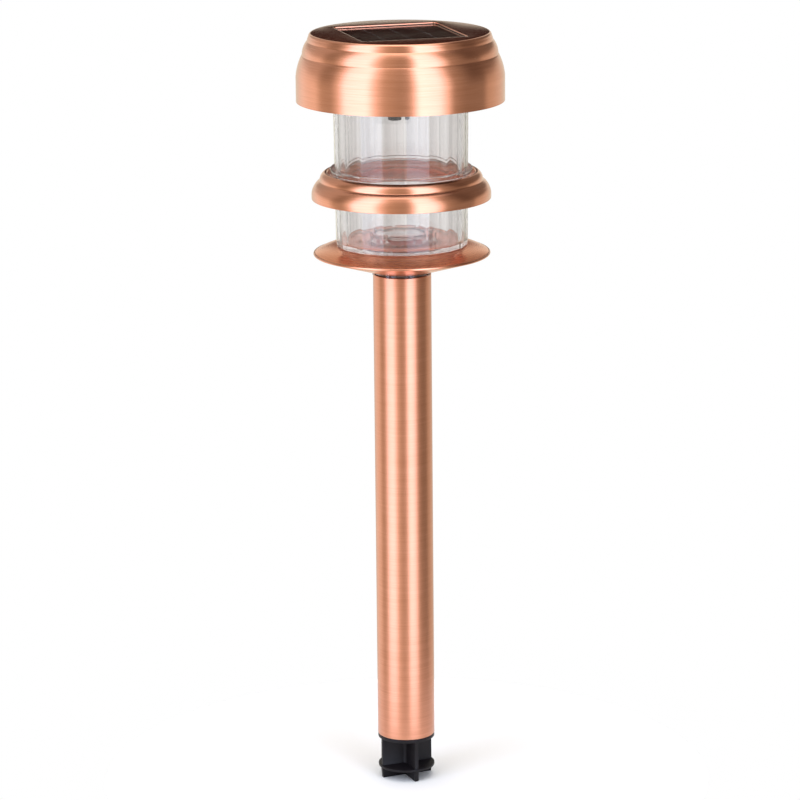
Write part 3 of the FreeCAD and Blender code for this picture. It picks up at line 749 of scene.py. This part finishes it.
def lens_skin(material):
    """The clear lens: flat sides, ledge and flange outside, round inside with its socket."""
    crease = 25
    # Rings at these heights keep the faces of the long walls short.
    upper_levels = [340, 355]
    lower_levels = [325, 310]
    rings = lens_outside(upper_levels) + lens_inside(upper_levels[::-1] + lower_levels)
    piece = loft("lens_skin", rings, crease)
    add_lugs(piece.data)
    face_outwards(piece.data)
    smooth(piece.data, crease)
    place(piece, "lens_head", "lens", material)


# ---------------------------------------------------------------- studio

def softboxes(nodes, relative):
    """The lights' colour by direction: bright ones are cool and dim ones are warm."""
    ramp = nodes.add("ShaderNodeValToRGB")
    nodes.put(ramp.inputs[0], nodes.math("MULTIPLY_ADD", relative, 1 / (2 * math.pi), 0.5))
    elements = ramp.color_ramp.elements
    while len(elements) < len(LIGHT_LEVELS):
        elements.new(0.5)
    for element, (degrees, level) in zip(elements, LIGHT_LEVELS):
        element.position = (degrees + 180) / 360
        cool = min(max((level - 0.9) / 1.6, 0.0), 1.0)
        element.color = (level * (1 - 0.06 * cool), level * (0.96 + 0.10 * cool),
                         level * (0.80 + 0.54 * cool), 1)
    return ramp.outputs["Color"]


def room_light(nodes, relative, up):
    """The softboxes, with the room dimmer at both sides and more so on the right, a dark
    card at the back and a light overhead. relative is in radians to the right of the camera,
    and up is the sine of the angle above the horizon."""
    off = nodes.math("ABSOLUTE", relative)
    sides = nodes.times(nodes.step(off, 1.25, 1.6), nodes.step(off, 2.93, 2.78))
    right = nodes.step(relative, -0.2, 0.2)
    strength = nodes.math("MULTIPLY_ADD", right, 0.34, 0.54)
    dim = nodes.times(sides, nodes.times(nodes.step(up, 0.02, 0.2), strength))
    card_height = nodes.times(nodes.step(up, 0.03, 0.12), nodes.step(up, 0.74, 0.64))
    card = nodes.times(nodes.step(off, 2.95, 3.06), card_height)
    overhead = nodes.step(up, 0.78, 0.97)
    with_sides = nodes.blend(dim, softboxes(nodes, relative), (0.13, 0.11, 0.09))
    with_card = nodes.blend(card, with_sides, (0.045, 0.016, 0.012))
    return nodes.blend(overhead, with_card, (2.3, 2.3, 2.3))


def studio_world(turn):
    """Two tall softboxes in front and dark gaps beside them light the object, and the camera
    sees white. Seen through the lens, the white is slightly waved."""
    world = bpy.data.worlds.new("studio")
    bpy.context.scene.world = world
    world.use_nodes = True
    nodes = Nodes(world.node_tree)
    x, y, up = nodes.split(nodes.add("ShaderNodeTexCoord").outputs["Generated"])
    facing = math.radians(turn - 90)
    angle = nodes.minus(nodes.math("ARCTAN2", y, x), facing)
    relative = nodes.math("WRAP", angle, math.pi, -math.pi)
    room = nodes.add("ShaderNodeBackground")
    nodes.put(room.inputs["Color"], room_light(nodes, relative, up))
    room.inputs["Strength"].default_value = 1.0
    ray = nodes.add("ShaderNodeLightPath").outputs
    through = ray["Is Transmission Ray"]
    wave = nodes.math("MULTIPLY_ADD", nodes.math("SINE", nodes.times(relative, 13.0)), 0.15, 0.86)
    backdrop = nodes.add("ShaderNodeBackground")
    backdrop.inputs["Color"].default_value = (1, 1, 1, 1)
    nodes.put(backdrop.inputs["Strength"],
              nodes.plus(nodes.times(wave, through), nodes.minus(1.0, through)))
    choose = nodes.add("ShaderNodeMixShader")
    nodes.put(choose.inputs[0], nodes.math("MAXIMUM", ray["Is Camera Ray"], through))
    nodes.put(choose.inputs[1], room.outputs[0])
    nodes.put(choose.inputs[2], backdrop.outputs[0])
    end = nodes.add("ShaderNodeOutputWorld")
    nodes.put(end.inputs["Surface"], choose.outputs[0])


def floor():
    """A round patch of warm white floor under the foot."""
    shader = Shader("floor_white")
    grain = shader.noise(shader.position(), 3.0)
    shader.set(Base_Color=shader.blend(grain, (0.965, 0.945, 0.92), (0.98, 0.96, 0.935)),
               Roughness=0.7)
    corners = [(FLOOR_REACH * math.cos(angle), FLOOR_REACH * math.sin(angle), 0)
               for angle in even_angles(FLOOR_SIDES)]
    mesh = bpy.data.meshes.new("floor")
    mesh.from_pydata(corners, [], [range(FLOOR_SIDES)])
    mesh.materials.append(shader.material)
    show("floor", mesh)


def camera():
    """A long lens, a little to the left of the front and above the object."""
    data = bpy.data.cameras.new("camera")
    data.lens = CAMERA_LENS
    data.sensor_width = CAMERA_SENSOR
    eye = show("camera", data)
    turn = math.radians(CAMERA_TURN)
    rise = math.radians(CAMERA_RISE)
    back = Vector((math.sin(turn) * math.cos(rise), -math.cos(turn) * math.cos(rise),
                   math.sin(rise)))
    aside = Vector((math.cos(turn), math.sin(turn), 0))
    aim = Vector((0, 0, CAMERA_HEIGHT)) - aside * CAMERA_SHIFT
    eye.location = aim + back * CAMERA_REACH
    eye.rotation_mode = "QUATERNION"
    look = (-back).to_track_quat("-Z", "Y")
    eye.rotation_quaternion = look @ Quaternion((0, 0, 1), math.radians(CAMERA_ROLL))
    bpy.context.scene.camera = eye
    bpy.context.scene.view_settings.view_transform = "Standard"


# ---------------------------------------------------------------- whole light

def give_cad_materials(table):
    """Show CAD nodes as they are, with the materials of a table of (material, nodes)."""
    for material, nodes in table:
        for node in nodes:
            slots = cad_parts[node].data.materials
            slots.clear()
            slots.append(material)


def main():
    cap_top = size_of("cap_shell")[2] * MM
    shell = brushed_copper("copper_shell", -1.0, smooth_above=cap_top - 0.0003)
    bowl = brushed_copper("copper_bowl", 1.0)
    tube = brushed_copper("copper_tube", 0.0, 0.34, (0.66, 0.272, 0.158), (0.75, 0.33, 0.205))
    cap_skin(shell.material)
    ring_skin(shell.material)
    plate_skin(covered_copper("copper_saucer").material)
    bowl_skin(bowl.material)
    pole_skin(tube.material)
    lens_skin(streaked_lens("clear_lens"))
    black = moulded_plastic("black_plastic", (0.0045, 0.003, 0.004), shine=0.2)
    stake = softened("stake_skin", "ground_stake", 0.00022)
    place(stake, "stake", "ground_stake", black)
    dark = moulded_plastic("seal_foam", (0.02, 0.02, 0.02), 0.8)
    laminate = moulded_plastic("laminate", (0.02, 0.14, 0.06), 0.35)
    steel = plated("zinc_plate", (0.72, 0.72, 0.74))
    give_cad_materials([
        (clear_plastic("clear_plug", (0.93, 0.94, 0.95), 0.08), ["pole_plug"]),
        (black, ["housing_top", "housing_base", "battery_door", "controller_chip"]),
        (resin("panel_resin"), ["panel_cover"]),
        (silicon("silicon"), ["solar_cells"]),
        (laminate, ["panel_board", "circuit_board"]),
        (dark, ["panel_seal", "lens_gasket"]),
        (steel, ["housing_screws", "board_screws", "switch_case", "led_leads",
                 "battery_contacts", "battery_spring"]),
        (plated("coil_winding", (0.45, 0.2, 0.08), 0.35), ["drive_coil"]),
        (clear_plastic("lamp_resin", (0.97, 0.95, 0.85), 0.15), ["led_lamp"]),
        (moulded_plastic("wire_red", (0.5, 0.03, 0.02), 0.3), ["panel_wires", "battery_wires"]),
        (moulded_plastic("cell_sleeve", (0.05, 0.25, 0.1), 0.25), ["battery_cell"]),
        (moulded_plastic("knob_white", (0.7, 0.7, 0.68), 0.4), ["switch_knob"]),
    ])
    studio_world(CAMERA_TURN)
    floor()
    camera()


main()
